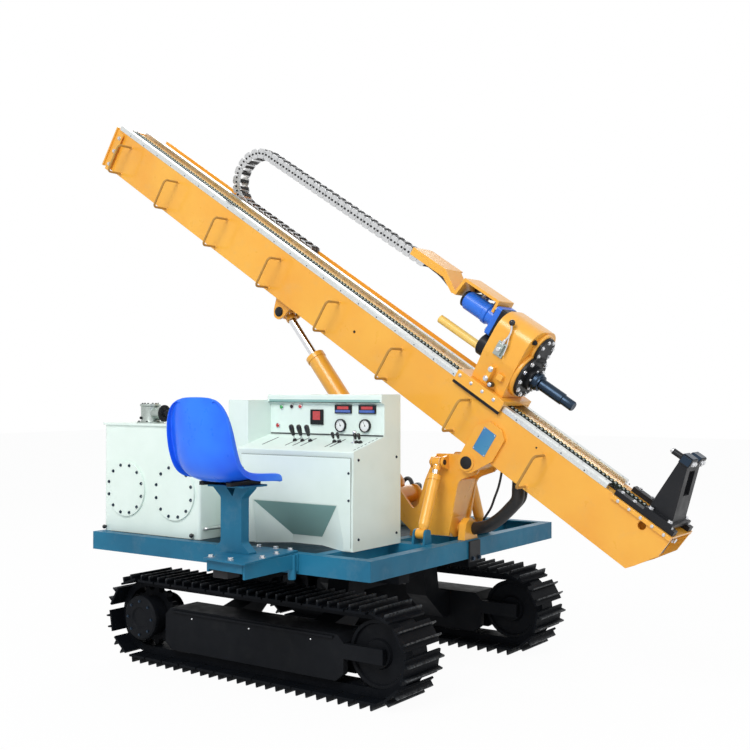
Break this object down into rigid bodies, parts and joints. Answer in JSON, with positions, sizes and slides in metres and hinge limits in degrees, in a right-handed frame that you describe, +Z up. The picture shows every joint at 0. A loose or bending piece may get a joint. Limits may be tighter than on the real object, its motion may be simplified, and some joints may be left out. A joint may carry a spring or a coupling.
{
  "type": "crawler drilling rig",
  "caption": "Crawler drilling rig: tracks, open deck with tank, console and bucket seat, and a tilting, rolling feed mast with a sliding rotary head.",
  "frame": {"origin": "middle of the bounding box at ground level", "axes": "+X forward to the drilling end, +Y to the machine's left, +Z up"},
  "size_m": [4.111, 2.359, 3.3431],
  "materials": {
    "black_running_gear": "painted, scuffed on the treads",
    "deck_blue": "painted, satin",
    "pale_enamel": "powder coated, satin",
    "grey_green_metal": "cast, painted",
    "panel_sheet": "powder coated, satin",
    "black_steel": "blackened",
    "blue_plastic": "moulded, glossy",
    "yellow_enamel": "enamel, glossy",
    "bright_steel": "ground, bright",
    "oiled_chain": "oiled",
    "motor_blue": "painted, glossy",
    "dark_steel": "blued",
    "hose_chain_plastic": "plain side plates, black inside",
    "chrome": "hard chromed, polished"
  },
  "bodies": {
    "chassis": {"track_right": "black_running_gear", "track_left": "black_running_gear", "track_beam_right": "black_running_gear", "track_beam_left": "black_running_gear", "final_drive_right": "black_running_gear", "final_drive_left": "black_running_gear", "idler_right": "black_running_gear", "idler_left": "black_running_gear", "rollers_right": "black_running_gear", "rollers_left": "black_running_gear", "undercarriage_frame": "black_running_gear", "deck_frame": "deck_blue", "deck_plate": "deck_blue", "tank": "pale_enamel", "tank_covers": "pale_enamel", "filler_breather": "grey_green_metal", "console_cabinet": "pale_enamel", "console_door": "pale_enamel", "instrument_panel": "panel_sheet", "console_levers": "black_steel", "valve_cabinet": "pale_enamel", "seat_outrigger": "deck_blue", "seat_post": "deck_blue", "seat_shell": "blue_plastic", "power_pack": "grey_green_metal", "roll_bearings": "yellow_enamel", "roll_feet": "deck_blue"},
    "support": {"mast_support": "yellow_enamel", "support_pins": "black_steel"},
    "mast": {"mast_beam": "yellow_enamel", "mast_end_plate": "yellow_enamel", "mast_slides": "bright_steel", "feed_chain": "oiled_chain", "mast_brackets": "yellow_enamel", "mast_rungs": "yellow_enamel", "chain_trough": "yellow_enamel", "rod_clamp": "black_steel"},
    "head": {"carriage": "yellow_enamel", "wear_strips": "black_steel", "gearbox": "yellow_enamel", "gearbox_covers": "black_steel", "head_motor": "motor_blue", "head_guard": "yellow_enamel", "shift_lever": "black_steel", "rear_tube": "yellow_enamel"},
    "spindle": {"spindle": "dark_steel"},
    "hose_loop": {"hose_chain": "hose_chain_plastic"},
    "tilt_barrel": {"tilt_barrel": "yellow_enamel"},
    "tilt_rod": {"tilt_rod": "chrome"},
    "roll_barrel_right": {"roll_barrel_right": "yellow_enamel"},
    "roll_rod_right": {"roll_rod_right": "chrome"},
    "roll_barrel_left": {"roll_barrel_left": "yellow_enamel"},
    "roll_rod_left": {"roll_rod_left": "chrome"}
  },
  "joints": [
    {"name": "support_roll", "type": "hinge", "parent": "chassis", "child": "support", "pos_m": [-0.11681, 0.21953, 0.8], "axis": [1, 0, 0], "range_deg": [-5, 5]},
    {"name": "mast_tilt", "type": "hinge", "parent": "support", "child": "mast", "pos_m": [0.84019, 0.21953, 1.168], "axis": [0, 1, 0], "range_deg": [-32.6, 57.3]},
    {"name": "head_feed", "type": "slide", "parent": "mast", "child": "head", "axis": [0.8417, 0, -0.5399], "range_m": [-2.6, 0.4]},
    {"name": "spindle_turn", "type": "hinge", "parent": "head", "child": "spindle", "pos_m": [1.13608, 0.21953, 1.62925], "axis": [0.8417, 0, -0.5399], "continuous": true},
    {"name": "hose_loop_roll", "type": "slide", "parent": "head", "child": "hose_loop", "axis": [0.8417, 0, -0.5399], "range_m": [-0.22, 1.32], "deforming": ["hose_chain"]},
    {"name": "tilt_barrel_swing", "type": "hinge", "parent": "support", "child": "tilt_barrel", "pos_m": [0.33319, 0.21953, 0.96], "axis": [0, 1, 0], "range_deg": [-33.75, 58.95]},
    {"name": "tilt_rod_slide", "type": "slide", "parent": "tilt_barrel", "child": "tilt_rod", "axis": [-0.622, 0, 0.783], "range_m": [-0.2804, 0.4899]},
    {"name": "roll_barrel_right_swing", "type": "hinge", "parent": "chassis", "child": "roll_barrel_right", "pos_m": [0.66319, -0.09047, 0.795], "axis": [1, 0, 0], "range_deg": [-3.72, 3.72]},
    {"name": "roll_rod_right_slide", "type": "slide", "parent": "roll_barrel_right", "child": "roll_rod_right", "axis": [0, 0.3969, 0.9179], "range_m": [-0.02565, 0.02565]},
    {"name": "roll_barrel_left_swing", "type": "hinge", "parent": "chassis", "child": "roll_barrel_left", "pos_m": [0.66319, 0.52953, 0.795], "axis": [1, 0, 0], "range_deg": [-3.72, 3.72]},
    {"name": "roll_rod_left_slide", "type": "slide", "parent": "roll_barrel_left", "child": "roll_rod_left", "axis": [0, -0.3969, 0.9179], "range_m": [-0.02565, 0.02565]}
  ],
  "couplings": [
    {"joint": "hose_loop_roll", "follows": "head_feed", "ratio": -0.5},
    {"joint": "tilt_barrel_swing", "follows": "mast_tilt", "ratio": 1.02},
    {"joint": "tilt_rod_slide", "follows": "mast_tilt", "m_per_rad": 0.48587},
    {"joint": "roll_barrel_right_swing", "follows": "support_roll", "ratio": 0.68418},
    {"joint": "roll_rod_right_slide", "follows": "support_roll", "m_per_rad": -0.28242},
    {"joint": "roll_barrel_left_swing", "follows": "support_roll", "ratio": 0.68418},
    {"joint": "roll_rod_left_slide", "follows": "support_roll", "m_per_rad": 0.28242}
  ]
}
